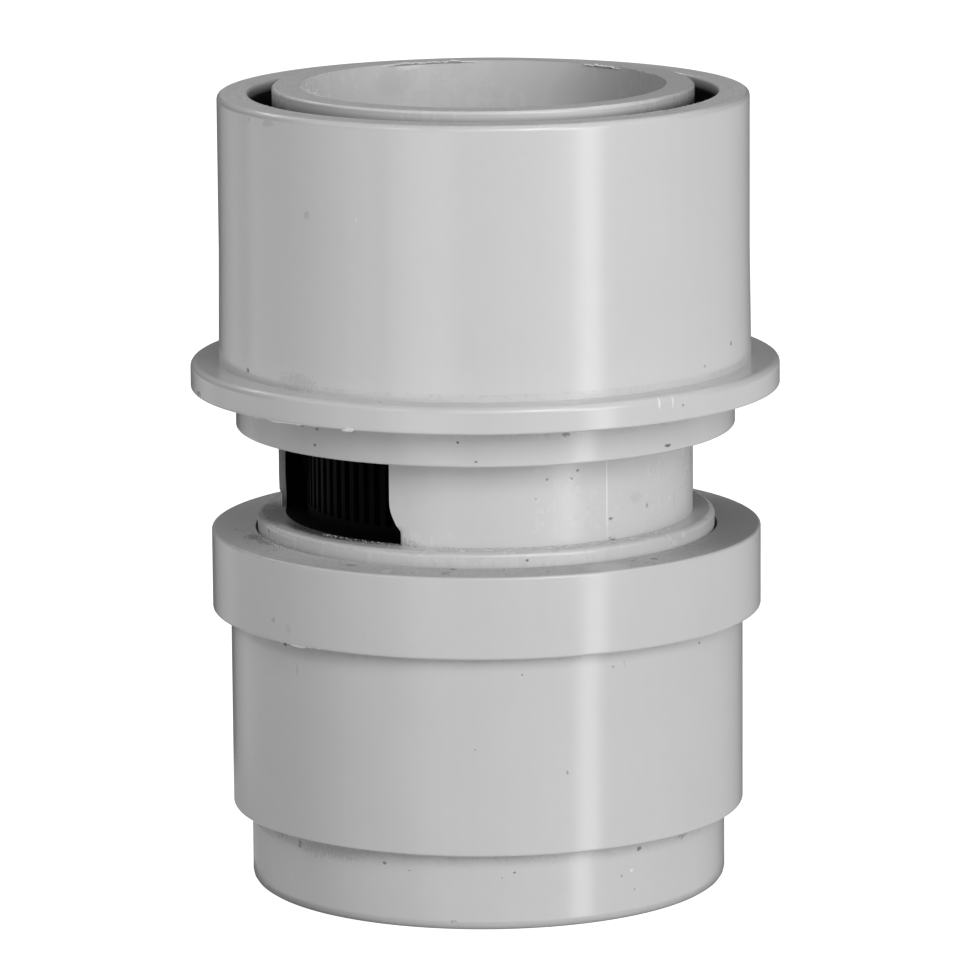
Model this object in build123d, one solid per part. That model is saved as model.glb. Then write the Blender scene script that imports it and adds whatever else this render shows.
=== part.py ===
# Air admittance valve for a 40 or 50 mm waste pipe, standing on its cap.
# Sizes are in millimetres. +Z is up, and the origin is the middle of the cap's bottom face.
# The valve hangs the other way up on a pipe: there the cap is on top and the rubber drops on its seats.
import os
from math import asin, cos, degrees, sin

from build123d import *

os.makedirs("parts", exist_ok=True)

# Tube of the valve body, which a 40 mm socket takes. The other diameters build on it.
tube_diameter = 39.9
tube_wall = 2.625
tube_rounding = 0.3
tube_stand_out = 0.65
ledge_width = 0.7
ledge_height = 1.2
ledge_above_window = 2.4

# Neck with its air windows, a little thinner than the tube
neck_step = 0.2
neck_height = 8.35
window_half_width = 10.3
window_flare = 0.8
flare_height = 4.0
foot_upright = 1.3
foot_edge_width = 1.1
foot_edge_depth = 0.26
foot_edge_height = 1.1
foot_edge_fade = 0.7
window_skin = 0.6

# Disk and skirt of the valve body, which plug into the cap
disk_overhang = 2.05
disk_rise = 1.45
disk_rounding = 0.5
plate_thickness = 4.3
plug_clearance = 0.25
skirt_length = 10.5
skirt_wall = 1.7
bead_height = 0.5
bead_width = 2.0
bead_above_skirt_end = 2.6

# Cap: foot, body and collar in one moulding
body_wall = 2.425
body_height = 19.05
collar_overhang = 1.725
collar_height = 7.75
foot_inset = 1.775
foot_height = 7.55
foot_wall = 2.7
foot_rounding = 0.9
cap_floor = 2.6
shoulder_wall = 2.5
cap_edge = 0.3

# Connector sleeve, bonded on the tube, which fits a 50 mm pipe
bond_gap = 0.05
step_overhang = 3.8
step_height = 3.8
socket_gap = 2.25
sleeve_wall = 2.95
sleeve_length = 25.4
sleeve_land = 15.0
root_draft = 0.15
sleeve_rounding = 0.35
flange_overhang = 2.85
flange_thickness = 2.55
flange_rounding = 0.5
gap_floor_thickness = 1.0

# Air tube: funnel, inner tube and inner seat
air_passage_width = 4.425
air_tube_wall = 1.5
funnel_rim_height = 5.4
funnel_wall = 2.4
funnel_height = 4.0
seat_depth = 1.2
outer_seat_width = 0.9
seat_rounding = 0.35

# Insect screens
frame_width = 1.0
screen_wall = 0.6
screen_depth = 2.05
slot_width = 0.7
slot_pitch = 1.3
slot_margin = 1.0
screen_corner = 0.4
screen_clearance = 0.05

# Seals
cap_seal_section = 1.7
cap_seal_below_plate_top = 2.7
tube_seal_section = 1.3
groove_side_clearance = 0.15

# Diaphragm, its carrier and its clamp
lift = 4.0
closed_gap = 0.15
rubber_thickness = 1.1
rubber_inner_overlap = 1.3
rubber_skirt_clearance = 0.8
carrier_thickness = 1.5
carrier_lip_overlap = 0.9
clamp_thickness = 0.9
clamp_clearance = 0.8
peg_count = 6
peg_diameter = 1.9
peg_head_diameter = 2.9
peg_head_height = 0.6
peg_clearance = 0.08
spoke_count = 3
spoke_width = 2.0
spoke_depth = 3.2
hub_diameter = 8.4
stem_diameter = 4.8
stem_length = 12.0

# Guide boss on the cap's floor
guide_clearance = 0.2
guide_wall = 1.9
hub_stop_gap = 0.3
gusset_count = 4
gusset_thickness = 1.4
gusset_reach = 6.0
gusset_toe = 1.0
gusset_drop = 2.0

# Turns of the patterns about the axis, in degrees
spoke_turn = 30
gusset_turn = 45

# Cutters reach this far past the faces that they cut
overcut = 1.0

# Heights, from the floor up
foot_top = foot_height
body_top = foot_top + body_height
collar_top = body_top + collar_height
disk_top = collar_top + disk_rise
neck_top = disk_top + neck_height
flange_bottom = neck_top + step_height
flange_top = flange_bottom + flange_thickness
sleeve_top = flange_top + sleeve_length
tube_top = sleeve_top + tube_stand_out
gap_floor = flange_top + gap_floor_thickness
plate_bottom = disk_top - plate_thickness
skirt_end = plate_bottom - skirt_length
seat_level = plate_bottom - seat_depth
ledge_bottom = neck_top + ledge_above_window
ledge_top = ledge_bottom + ledge_height
bead_level = skirt_end + bead_above_skirt_end
shoulder_level = foot_top + shoulder_wall
cap_seal_level = disk_top - cap_seal_below_plate_top
tube_seal_level = ledge_top + funnel_rim_height / 2

# Radii of the valve body and the cap
tube_radius = tube_diameter / 2
tube_bore_radius = tube_radius - tube_wall
ledge_radius = tube_bore_radius - ledge_width
neck_radius = tube_radius - neck_step
plug_radius = neck_radius + disk_overhang
skirt_bore_radius = plug_radius - skirt_wall
outer_seat_radius = tube_bore_radius + outer_seat_width
cap_bore_radius = plug_radius + plug_clearance
body_radius = cap_bore_radius + body_wall
collar_radius = body_radius + collar_overhang
foot_radius = body_radius - foot_inset
foot_bore_radius = foot_radius - foot_wall

# Radii of the connector sleeve
hub_radius = tube_radius + bond_gap
step_radius = tube_radius + step_overhang
sleeve_bore_radius = tube_radius + socket_gap
sleeve_radius = sleeve_bore_radius + sleeve_wall
flange_radius = sleeve_radius + flange_overhang

# Radii of the air tube, the screens and the guide boss
air_tube_radius = tube_bore_radius - air_passage_width
air_bore_radius = air_tube_radius - air_tube_wall
funnel_radius = tube_bore_radius - bond_gap
pocket_radius = neck_radius - window_skin
frame_radius = pocket_radius - screen_clearance
screen_radius = frame_radius - screen_depth
stem_radius = stem_diameter / 2
guide_bore_radius = stem_radius + guide_clearance
guide_radius = guide_bore_radius + guide_wall

# Heights of the moving pieces when the valve stands on its cap and is open
rubber_top = seat_level - closed_gap - lift
rubber_bottom = rubber_top - rubber_thickness
carrier_bottom = rubber_bottom - carrier_thickness
hub_bottom = rubber_bottom - spoke_depth
guide_top = hub_bottom - hub_stop_gap

# Radii of the moving pieces
rubber_inner_radius = air_bore_radius - rubber_inner_overlap
rubber_outer_radius = skirt_bore_radius - rubber_skirt_clearance
clamp_inner_radius = air_tube_radius + clamp_clearance
clamp_outer_radius = tube_bore_radius - clamp_clearance
peg_circle_radius = (clamp_inner_radius + clamp_outer_radius) / 2
carrier_inner_radius = clamp_inner_radius - carrier_lip_overlap
carrier_outer_radius = clamp_outer_radius + carrier_lip_overlap


def turned(*points):
    """Turn a closed outline of (radius, height) points about the axis."""
    outline = Polyline(*[(r, 0, z) for r, z in points], close=True)
    return revolve(make_face(outline), Axis.Z)


def ring(inner_radius, outer_radius, low, high):
    """Plain ring with a rectangular section."""
    return turned((inner_radius, low), (outer_radius, low), (outer_radius, high), (inner_radius, high))


def disc(radius, low, high):
    """Plain disc or rod on the axis."""
    return turned((0, low), (radius, low), (radius, high), (0, high))


def circle_edges(shape, radius, height):
    """Full circular edges of one radius at one height."""
    circles = shape.edges().filter_by(GeomType.CIRCLE)
    return circles.filter_by(
        lambda e: abs(e.radius - radius) < 1e-4 and abs(e.arc_center.Z - height) < 1e-4
    )


def around(count, start=0):
    """Angles of an even pattern about the axis."""
    return [start + 360 * i / count for i in range(count)]


def window_outline():
    """Window on (Y, Z), as seen along its row axis: straight sides that flare out at the foot."""
    half = window_half_width
    foot = half + window_flare
    knee = disk_top + foot_upright
    bend = disk_top + flare_height
    flare_start = (-window_flare, flare_height - foot_upright)
    side = Spline((foot, knee), (half, bend), tangents=[flare_start, (0, 1)])
    right = Line((foot, disk_top), (foot, knee)) + side + Line((half, bend), (half, neck_top))
    left = mirror(right, Plane.YZ)
    top = Line((half, neck_top), (-half, neck_top))
    sill = Line((-foot, disk_top), (foot, disk_top))
    return make_face(right + top + left + sill)


def pocket_outline(grow):
    """Outline on (Y, Z) of the recess behind a window, which holds the insect screen."""
    half = window_half_width + window_flare + grow
    low = disk_top - grow
    high = neck_top + grow
    return make_face(Polyline((-half, low), (half, low), (half, high), (-half, high), close=True))


def sideways(face, side, reach):
    """Push a face drawn on (Y, Z) out from the axis along +X or -X."""
    plane = Plane(origin=(0, 0, 0), x_dir=(0, side, 0), z_dir=(side, 0, 0))
    return extrude(plane * face, amount=reach)


def cap():
    """Stepped cup with a guide boss for the diaphragm's stem."""
    cup = turned(
        (0, 0),
        (foot_radius, 0),
        (foot_radius, foot_top),
        (body_radius, foot_top),
        (body_radius, body_top),
        (collar_radius, body_top),
        (collar_radius, collar_top),
        (cap_bore_radius, collar_top),
        (cap_bore_radius, shoulder_level),
        (foot_bore_radius, shoulder_level),
        (foot_bore_radius, cap_floor),
        (0, cap_floor),
    )
    cup = fillet(circle_edges(cup, foot_radius, 0), foot_rounding)
    for radius, height in ((body_radius, foot_top), (collar_radius, body_top), (collar_radius, collar_top)):
        cup = fillet(circle_edges(cup, radius, height), cap_edge)
    cup -= snap_bead(plug_clearance)
    boss = ring(guide_bore_radius, guide_radius, cap_floor, guide_top)
    cup += boss
    for angle in around(gusset_count, gusset_turn):
        cup += Rot(0, 0, angle) * gusset()
    return cup


def gusset():
    """Upright rib that props the guide boss, sloping down to the floor."""
    reach = min(guide_radius + gusset_reach, foot_bore_radius)
    slope = [
        (guide_radius - guide_wall / 2, cap_floor),
        (reach, cap_floor),
        (reach, cap_floor + gusset_toe),
        (guide_radius, guide_top - gusset_drop),
        (guide_radius - guide_wall / 2, guide_top - gusset_drop),
    ]
    face = make_face(Polyline(*[(x, 0, z) for x, z in slope], close=True))
    return extrude(face, amount=gusset_thickness / 2, dir=(0, 1, 0), both=True)


def snap_bead(clearance):
    """Low round bead on the skirt; with a clearance, the groove that it snaps into."""
    half = bead_width / 2 + clearance
    crest = plug_radius + bead_height + clearance
    return turned(
        (plug_radius - skirt_wall / 2, bead_level - half),
        (plug_radius, bead_level - half),
        (crest, bead_level - half / 3),
        (crest, bead_level + half / 3),
        (plug_radius, bead_level + half),
        (plug_radius - skirt_wall / 2, bead_level + half),
    )


def seal_groove(outer_wall, section, level):
    """Cutter for an O-ring's groove, as deep as the ring is thick, measured from the wall that it seals."""
    half = section / 2 + groove_side_clearance
    return ring(outer_wall - section, outer_wall, level - half, level + half)


def valve_body():
    """Tube, neck with two air windows, disk, skirt and outer seat."""
    shape = turned(
        (tube_bore_radius, tube_top),
        (tube_radius, tube_top),
        (tube_radius, neck_top),
        (neck_radius, neck_top),
        (neck_radius, disk_top),
        (plug_radius, disk_top),
        (plug_radius, skirt_end),
        (skirt_bore_radius, skirt_end),
        (skirt_bore_radius, plate_bottom),
        (outer_seat_radius, plate_bottom),
        (outer_seat_radius, seat_level),
        (tube_bore_radius, seat_level),
        (tube_bore_radius, ledge_bottom),
        (ledge_radius, ledge_bottom),
        (ledge_radius, ledge_top),
        (tube_bore_radius, ledge_top),
    )
    shape = fillet(circle_edges(shape, tube_radius, tube_top), tube_rounding)
    shape = fillet(circle_edges(shape, plug_radius, disk_top), disk_rounding)
    shape = fillet(circle_edges(shape, outer_seat_radius, seat_level), seat_rounding)
    shape = fillet(circle_edges(shape, tube_bore_radius, seat_level), seat_rounding)
    shape = chamfer(circle_edges(shape, plug_radius, skirt_end), skirt_wall / 3)
    shape += snap_bead(0)
    shape -= seal_groove(cap_bore_radius, cap_seal_section, cap_seal_level)
    recess_edge = frame_width + screen_clearance
    recess = ring(ledge_radius, pocket_radius, disk_top - recess_edge, neck_top + recess_edge)
    for side in (1, -1):
        shape -= recess & sideways(pocket_outline(recess_edge), side, neck_radius)
        shape -= sideways(window_outline(), side, neck_radius + overcut)
        for hand in (1, -1):
            shape -= foot_edge(side, hand)
    return shape


def foot_edge(side, hand):
    """Cutter that rounds off a window's outer edge just above the disk, and fades out upwards."""
    edge = asin((window_half_width + window_flare) / neck_radius)

    def spot(depth, along):
        """Point on the neck's plan, so deep in its wall and so far along it from the window's edge."""
        angle = edge + along / neck_radius
        return ((neck_radius - depth) * cos(angle), (neck_radius - depth) * sin(angle))

    def section(depth, height):
        corners = [
            spot(depth, -overcut),
            spot(depth, 0),
            spot(depth / 3, foot_edge_width / 3),
            spot(0, foot_edge_width),
            spot(-overcut, foot_edge_width),
            spot(-overcut, -overcut),
        ]
        return Pos(0, 0, height) * make_face(Polyline(*corners, close=True))

    fade_start = disk_top + foot_edge_height
    cutter = extrude(section(foot_edge_depth, disk_top), amount=foot_edge_height)
    cutter += loft([section(foot_edge_depth, fade_start), section(0, fade_start + foot_edge_fade)])
    if hand < 0:
        cutter = mirror(cutter, Plane.XZ)
    if side < 0:
        cutter = mirror(cutter, Plane.YZ)
    return cutter


def connector_sleeve():
    """Step ring, flange and 50 mm sleeve, with a slot round the tube for a 40 mm socket.

    The sleeve is straight at its end, where the pipe grips it, and swells by the draft towards the flange.
    """
    shape = turned(
        (hub_radius, neck_top),
        (step_radius, neck_top),
        (step_radius, flange_bottom),
        (flange_radius, flange_bottom),
        (flange_radius, flange_top),
        (sleeve_radius + root_draft, flange_top),
        (sleeve_radius, sleeve_top - sleeve_land),
        (sleeve_radius, sleeve_top),
        (sleeve_bore_radius, sleeve_top),
        (sleeve_bore_radius, gap_floor),
        (hub_radius, gap_floor),
    )
    shape = fillet(circle_edges(shape, sleeve_radius, sleeve_top), sleeve_rounding)
    shape = fillet(circle_edges(shape, sleeve_bore_radius, sleeve_top), sleeve_rounding)
    shape = fillet(circle_edges(shape, flange_radius, flange_top), flange_rounding)
    shape = fillet(circle_edges(shape, flange_radius, flange_bottom), cap_edge)
    return fillet(circle_edges(shape, step_radius, neck_top), cap_edge)


def air_tube():
    """Funnel that rests on the ledge, and the tube down to the inner seat."""
    funnel_low = neck_top - funnel_height + ledge_above_window
    throat_radius = ledge_radius - screen_clearance
    rim_top = ledge_top + funnel_rim_height
    shape = turned(
        (air_bore_radius, seat_level),
        (air_tube_radius, seat_level),
        (air_tube_radius, funnel_low),
        (throat_radius, ledge_bottom),
        (throat_radius, ledge_top),
        (funnel_radius, ledge_top),
        (funnel_radius, rim_top),
        (funnel_radius - funnel_wall / 2, rim_top),
        (funnel_radius - funnel_wall, ledge_top + air_tube_wall),
        (air_bore_radius, funnel_low + air_tube_wall / 2),
    )
    shape = fillet(circle_edges(shape, air_tube_radius, seat_level), seat_rounding)
    shape = fillet(circle_edges(shape, air_bore_radius, seat_level), seat_rounding)
    return shape - seal_groove(tube_bore_radius, tube_seal_section, tube_seal_level)


def insect_screen(side):
    """Slotted wall in a frame that fills the recess behind one window."""
    blank = ring(screen_radius - screen_wall, frame_radius, disk_top - frame_width, neck_top + frame_width)
    shape = blank & sideways(pocket_outline(frame_width), side, neck_radius)
    front = ring(screen_radius, neck_radius, disk_top, neck_top)
    shape -= front & sideways(window_outline(), side, neck_radius)
    shape = fillet(screen_corners(shape), screen_corner)
    slot_low = disk_top + slot_margin
    slot_length = neck_height - 2 * slot_margin
    slots_each_way = int((window_half_width - slot_margin) / slot_pitch)
    slot = Box(neck_radius, slot_width, slot_length, align=(Align.MIN, Align.CENTER, Align.MIN))
    middle = 0 if side > 0 else 180
    for place in range(-slots_each_way, slots_each_way + 1):
        angle = middle + degrees(place * slot_pitch / screen_radius)
        shape -= Rot(0, 0, angle) * Pos(0, 0, slot_low) * slot
    return shape


def screen_corners(shape):
    """Edges where the slotted wall meets the sides of its frame, from the sill to the top."""
    def meets_wall(edge):
        ends = [edge @ 0, edge @ 1]
        upright = abs(ends[0].Z - ends[1].Z) > slot_margin
        on_wall = all(abs(Vector(p.X, p.Y, 0).length - screen_radius) < 1e-4 for p in ends)
        return upright and on_wall

    return shape.edges().filter_by(meets_wall)


def o_ring(outer_wall, section, height):
    """O-ring as it sits in its groove, just clear of the wall and of the groove's floor."""
    thread = section / 2 - screen_clearance / 2
    middle = outer_wall - section / 2
    return Pos(0, 0, height) * Torus(middle, thread)


def diaphragm():
    """Flat rubber ring with holes for the clamp's pegs."""
    shape = ring(rubber_inner_radius, rubber_outer_radius, rubber_bottom, rubber_top)
    for angle in around(peg_count):
        shape -= Rot(0, 0, angle) * peg_hole(rubber_bottom, rubber_top)
    return shape


def peg_hole(low, high):
    """Clearance hole for one peg."""
    return Pos(peg_circle_radius, 0, 0) * disc(peg_diameter / 2 + peg_clearance, low, high)


def diaphragm_carrier():
    """Ring under the rubber, joined by spokes to a hub with a guide stem."""
    shape = ring(carrier_inner_radius, carrier_outer_radius, carrier_bottom, rubber_bottom)
    shape += disc(hub_diameter / 2, hub_bottom, rubber_bottom)
    spoke_reach = (carrier_inner_radius + clamp_inner_radius) / 2
    for angle in around(spoke_count, spoke_turn):
        spoke = Box(spoke_reach, spoke_width, spoke_depth, align=(Align.MIN, Align.CENTER, Align.MAX))
        shape += Rot(0, 0, angle) * Pos(0, 0, rubber_bottom) * spoke
    shape += disc(stem_radius, hub_bottom - stem_length, hub_bottom)
    shape = chamfer(circle_edges(shape, stem_radius, hub_bottom - stem_length), stem_radius / 4)
    for angle in around(peg_count):
        shape -= Rot(0, 0, angle) * peg_hole(carrier_bottom, rubber_bottom)
    return shape


def clamp_ring():
    """Ring on the rubber, with pegs staked over below the carrier."""
    shape = ring(clamp_inner_radius, clamp_outer_radius, rubber_top, rubber_top + clamp_thickness)
    peg_low = carrier_bottom - peg_head_height
    peg = disc(peg_diameter / 2, peg_low, rubber_top)
    peg += disc(peg_head_diameter / 2, peg_low, carrier_bottom)
    for angle in around(peg_count):
        shape += Rot(0, 0, angle) * Pos(peg_circle_radius, 0, 0) * peg
    return shape


pieces = {
    "cap": cap(),
    "valve_body": valve_body(),
    "connector_sleeve": connector_sleeve(),
    "air_tube": air_tube(),
    "left_insect_screen": insect_screen(-1),
    "right_insect_screen": insect_screen(1),
    "cap_seal": o_ring(cap_bore_radius, cap_seal_section, cap_seal_level),
    "tube_seal": o_ring(tube_bore_radius, tube_seal_section, tube_seal_level),
    "diaphragm": diaphragm(),
    "diaphragm_carrier": diaphragm_carrier(),
    "clamp_ring": clamp_ring(),
}

for name, piece in pieces.items():
    export_step(piece, f"parts/{name}.step")
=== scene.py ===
import bmesh
import bpy
import math
import random
from mathutils import Matrix, Vector, noise


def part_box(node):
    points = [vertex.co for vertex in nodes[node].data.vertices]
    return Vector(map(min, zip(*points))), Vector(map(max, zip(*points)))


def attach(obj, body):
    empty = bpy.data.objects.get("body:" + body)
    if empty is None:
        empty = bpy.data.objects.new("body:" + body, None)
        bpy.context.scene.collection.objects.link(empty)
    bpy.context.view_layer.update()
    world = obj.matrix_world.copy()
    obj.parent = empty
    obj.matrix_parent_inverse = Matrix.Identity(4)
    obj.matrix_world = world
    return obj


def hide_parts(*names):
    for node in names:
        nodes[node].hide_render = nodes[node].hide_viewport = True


# Air admittance valve, looks only. Metres, Z up, the valve stands on its cap.

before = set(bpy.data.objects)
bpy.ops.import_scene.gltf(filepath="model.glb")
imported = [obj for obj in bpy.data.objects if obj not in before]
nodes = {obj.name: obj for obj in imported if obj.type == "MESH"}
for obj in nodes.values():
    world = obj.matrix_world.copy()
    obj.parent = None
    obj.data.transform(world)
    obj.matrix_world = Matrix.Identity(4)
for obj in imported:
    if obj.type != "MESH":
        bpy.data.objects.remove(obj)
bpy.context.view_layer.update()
print("frame loaded:", len(nodes), "nodes")


# camera

cameraSettings = {
    "lens": 243.0,          # in millimetres, as the sensor is
    "turn": 31.45,          # degrees to the left of the front, so that one air window shows
    "distance": 0.6142,
    "height": 0.1561,
    "sideStep": -0.0001,
    "pitch": 10.89,         # degrees down
    "roll": -0.44,
    "sensor": 36,
    "nearest": 0.05,        # nothing closer or further than these is seen
    "furthest": 20,
}
mm = 0.001
frontTurn = -90 - cameraSettings["turn"]    # where the camera stands, in degrees about Z

turn = math.radians(cameraSettings["turn"])
viewAhead = Vector((math.sin(turn), math.cos(turn), 0))
viewRight = Vector((math.cos(turn), -math.sin(turn), 0))
upright = Vector((0, 0, 1))


def placeCamera():
    pitch = math.radians(cameraSettings["pitch"])
    roll = math.radians(cameraSettings["roll"])
    forward = viewAhead * math.cos(pitch) - upright * math.sin(pitch)
    above = viewAhead * math.sin(pitch) + upright * math.cos(pitch)
    sideways = viewRight * math.cos(roll) + above * math.sin(roll)
    above = above * math.cos(roll) - viewRight * math.sin(roll)
    data = bpy.data.cameras.new("camera")
    data.lens = cameraSettings["lens"]
    data.sensor_width = cameraSettings["sensor"]
    data.clip_start = cameraSettings["nearest"]
    data.clip_end = cameraSettings["furthest"]
    camera = bpy.data.objects.new("camera", data)
    bpy.context.scene.collection.objects.link(camera)
    place = viewRight * cameraSettings["sideStep"] - viewAhead * cameraSettings["distance"]
    place.z = cameraSettings["height"]
    turned = Matrix((sideways, above, -forward)).transposed().to_4x4()
    camera.matrix_world = Matrix.Translation(place) @ turned
    bpy.context.scene.camera = camera


placeCamera()
print("camera placed")


# lights: soft boxes round the valve; angle, rise and wide are degrees from the camera's side, glow is radiance

lightSettings = {"distance": 0.9, "aim": 0.04}
softBoxes = {
    "nearKey": {"angle": 22, "wide": 12, "low": 0.3, "high": 0.8, "glow": 8.1},
    "rightKey": {"angle": 34, "wide": 12, "low": 0.0, "high": 0.8, "glow": 3.8},
    "rightHalo": {"angle": 45, "wide": 16, "low": 0.0, "high": 0.3, "glow": 4.7},
    "rightStrip": {"angle": 45, "wide": 10, "low": 0.0, "high": 0.3, "glow": 6.2},
    "rightStripLow": {"angle": 45, "wide": 10, "low": -0.45, "high": 0.0, "glow": 4.7},
    "frontRight": {"angle": 8, "wide": 16, "low": 0.3, "high": 0.8, "glow": 3.0},
    "frontLeft": {"angle": -8, "wide": 16, "low": 0.3, "high": 0.8, "glow": 1.3},
    "leftKey": {"angle": -37, "wide": 14, "low": 0.3, "high": 0.8, "glow": 3.2},
    "lowLeft": {"angle": -27, "wide": 28, "low": -0.14, "high": 0.0, "glow": 2.0},
    "lowSide": {"angle": -53, "wide": 14, "low": -0.14, "high": 0.0, "glow": 1.27},
    "farLeft": {"angle": -90, "wide": 60, "low": -0.14, "high": 0.0, "glow": 0.8},
    "backLeft": {"angle": -140, "wide": 40, "low": 0.3, "high": 0.8, "glow": 3.1},
    "rimLight": {"angle": -70, "rise": 40, "wide": 36, "low": -0.018, "high": 0.018, "glow": 12.0},
    "top": {"angle": 80, "rise": 72, "wide": 37, "low": -0.3, "high": 0.3, "glow": 1.05},
}


def fromCamera(angle, rise=0):
    angle = math.radians(angle)
    rise = math.radians(rise)
    level = viewRight * math.sin(angle) - viewAhead * math.cos(angle)
    return level * math.cos(rise) + upright * math.sin(rise)


def addSoftBox(name, box):
    width = 2 * lightSettings["distance"] * math.tan(math.radians(box["wide"] / 2))
    height = box["high"] - box["low"]
    middle = (box["high"] + box["low"]) / 2
    outward = fromCamera(box["angle"], box.get("rise", 0))
    data = bpy.data.lights.new(name, "AREA")
    data.shape = "RECTANGLE"
    data.size = width
    data.size_y = height
    data.energy = box["glow"] * math.pi * width * height
    lamp = bpy.data.objects.new(name, data)
    lamp.location = outward * lightSettings["distance"]
    lamp.location.z += middle or lightSettings["aim"]    # a box with its middle at 0 is raised to the aim
    lamp.rotation_mode = "QUATERNION"
    lamp.rotation_quaternion = (-outward).to_track_quat("-Z", "Y")
    bpy.context.scene.collection.objects.link(lamp)


for name, box in softBoxes.items():
    addSoftBox(name, box)


# node helpers

def addNode(tree, kind, **settings):
    node = tree.nodes.new(kind)
    for key, value in settings.items():
        setattr(node, key, value)
    return node


def join(tree, source, target):
    tree.links.new(source, target)


# shader maths: each helper returns the socket that carries its result

def calc(tree, operation, *values, clamp=False):
    node = addNode(tree, "ShaderNodeMath", operation=operation, use_clamp=clamp)
    for slot, value in enumerate(values):
        if isinstance(value, (int, float)):
            node.inputs[slot].default_value = value
        else:
            join(tree, value, node.inputs[slot])
    return node.outputs[0]


def blend(tree, mask, low, high):
    # low where the mask is 0, high where it is 1
    return calc(tree, "MULTIPLY_ADD", mask, calc(tree, "SUBTRACT", high, low), low)


def splitVector(tree, vector):
    node = addNode(tree, "ShaderNodeSeparateXYZ")
    join(tree, vector, node.inputs[0])
    return node.outputs


def noiseAt(tree, vector, scale, detail):
    node = addNode(tree, "ShaderNodeTexNoise")
    node.inputs["Scale"].default_value = scale
    node.inputs["Detail"].default_value = detail
    join(tree, vector, node.inputs["Vector"])
    return node.outputs["Fac"]


def stretched(tree, vector, scale):
    node = addNode(tree, "ShaderNodeMapping")
    node.inputs["Scale"].default_value = scale
    join(tree, vector, node.inputs["Vector"])
    return node.outputs[0]


def polar(tree, vector):
    x, y, z = splitVector(tree, vector)
    turned = calc(tree, "ARCTAN2", y, x)
    away = calc(tree, "SQRT", calc(tree, "ADD", calc(tree, "MULTIPLY", x, x), calc(tree, "MULTIPLY", y, y)))
    return turned, away, z


# surroundings: white where the camera, a gloss or clear plastic sees them, dark for diffuse light

def makeWorld():
    world = bpy.data.worlds.new("studio")
    bpy.context.scene.world = world
    world.use_nodes = True
    tree = world.node_tree
    tree.nodes.clear()
    path = addNode(tree, "ShaderNodeLightPath")
    mirrored = addNode(tree, "ShaderNodeMath", operation="MAXIMUM")
    seen = addNode(tree, "ShaderNodeMath", operation="MAXIMUM")
    background = addNode(tree, "ShaderNodeBackground")
    output = addNode(tree, "ShaderNodeOutputWorld")
    join(tree, path.outputs["Is Glossy Ray"], mirrored.inputs[0])
    join(tree, path.outputs["Is Transmission Ray"], mirrored.inputs[1])
    join(tree, path.outputs["Is Camera Ray"], seen.inputs[0])
    join(tree, mirrored.outputs[0], seen.inputs[1])
    join(tree, seen.outputs[0], background.inputs["Strength"])
    background.inputs["Color"].default_value = (1, 1, 1, 1)
    join(tree, background.outputs[0], output.inputs["Surface"])


makeWorld()


# floor, and the cards that only a gloss sees: they shade the valve's edges, its top faces and its foot

floorSettings = {"size": 12.0, "tone": 0.45, "roughness": 0.9, "lift": 1.0}
cardDistance = 0.35
cardStep = 5    # degrees
cards = {   # angles in degrees from the camera's side, heights in metres, glow at the near and the far end
    "rightFade": {"near": 118, "far": 160, "low": -0.15, "high": 0.045, "glow": (1.0, 0.1)},
    "rightEdge": {"near": 160, "far": 180, "low": -0.15, "high": 0.045, "glow": (0.1, 0.1)},
    "leftFade": {"near": -136, "far": -158, "low": -0.07, "high": 0.045, "glow": (0.85, 0.0)},
    "leftEdge": {"near": -158, "far": -180, "low": -0.07, "high": 0.045, "glow": (0.0, 0.0)},
    "leftLowFade": {"near": -112, "far": -138, "low": -0.15, "high": -0.07, "glow": (0.9, 0.42)},
    "leftLowEdge": {"near": -138, "far": -180, "low": -0.15, "high": -0.07, "glow": (0.42, 0.35)},
    "backCard": {"near": 90, "far": 270, "low": 0.045, "high": 0.3, "glow": (0.01, 0.01)},
}
footCard = {"radius": 0.0253, "level": -0.0003, "tone": 0.02, "segments": 96}    # just under the floor


def stagePiece(name, build, material):
    mesh = bpy.data.meshes.new(name)
    build.to_mesh(mesh)
    build.free()
    mesh.materials.append(material)
    piece = bpy.data.objects.new(name, mesh)
    bpy.context.scene.collection.objects.link(piece)
    return piece


def plainMaterial(name, tone, roughness):
    material = bpy.data.materials.new(name)
    material.use_nodes = True
    shader = material.node_tree.nodes["Principled BSDF"]
    shader.inputs["Base Color"].default_value = (tone, tone, tone, 1)
    shader.inputs["Roughness"].default_value = roughness
    return material


def makeFloor():
    material = plainMaterial("floorPaper", floorSettings["tone"], floorSettings["roughness"])
    tree = material.node_tree
    shader = tree.nodes["Principled BSDF"]
    shader.inputs["Specular IOR Level"].default_value = 0.0
    path = addNode(tree, "ShaderNodeLightPath")
    glow = addNode(tree, "ShaderNodeMath", operation="MULTIPLY")
    glow.inputs[1].default_value = floorSettings["lift"]    # white to the camera, so no shadow shows on it
    join(tree, path.outputs["Is Camera Ray"], glow.inputs[0])
    join(tree, glow.outputs[0], shader.inputs["Emission Strength"])
    shader.inputs["Emission Color"].default_value = (1, 1, 1, 1)
    build = bmesh.new()
    bmesh.ops.create_grid(build, x_segments=1, y_segments=1, size=floorSettings["size"] / 2)
    floor = stagePiece("floor", build, material)
    floor.visible_glossy = False
    floor.visible_shadow = False


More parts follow.
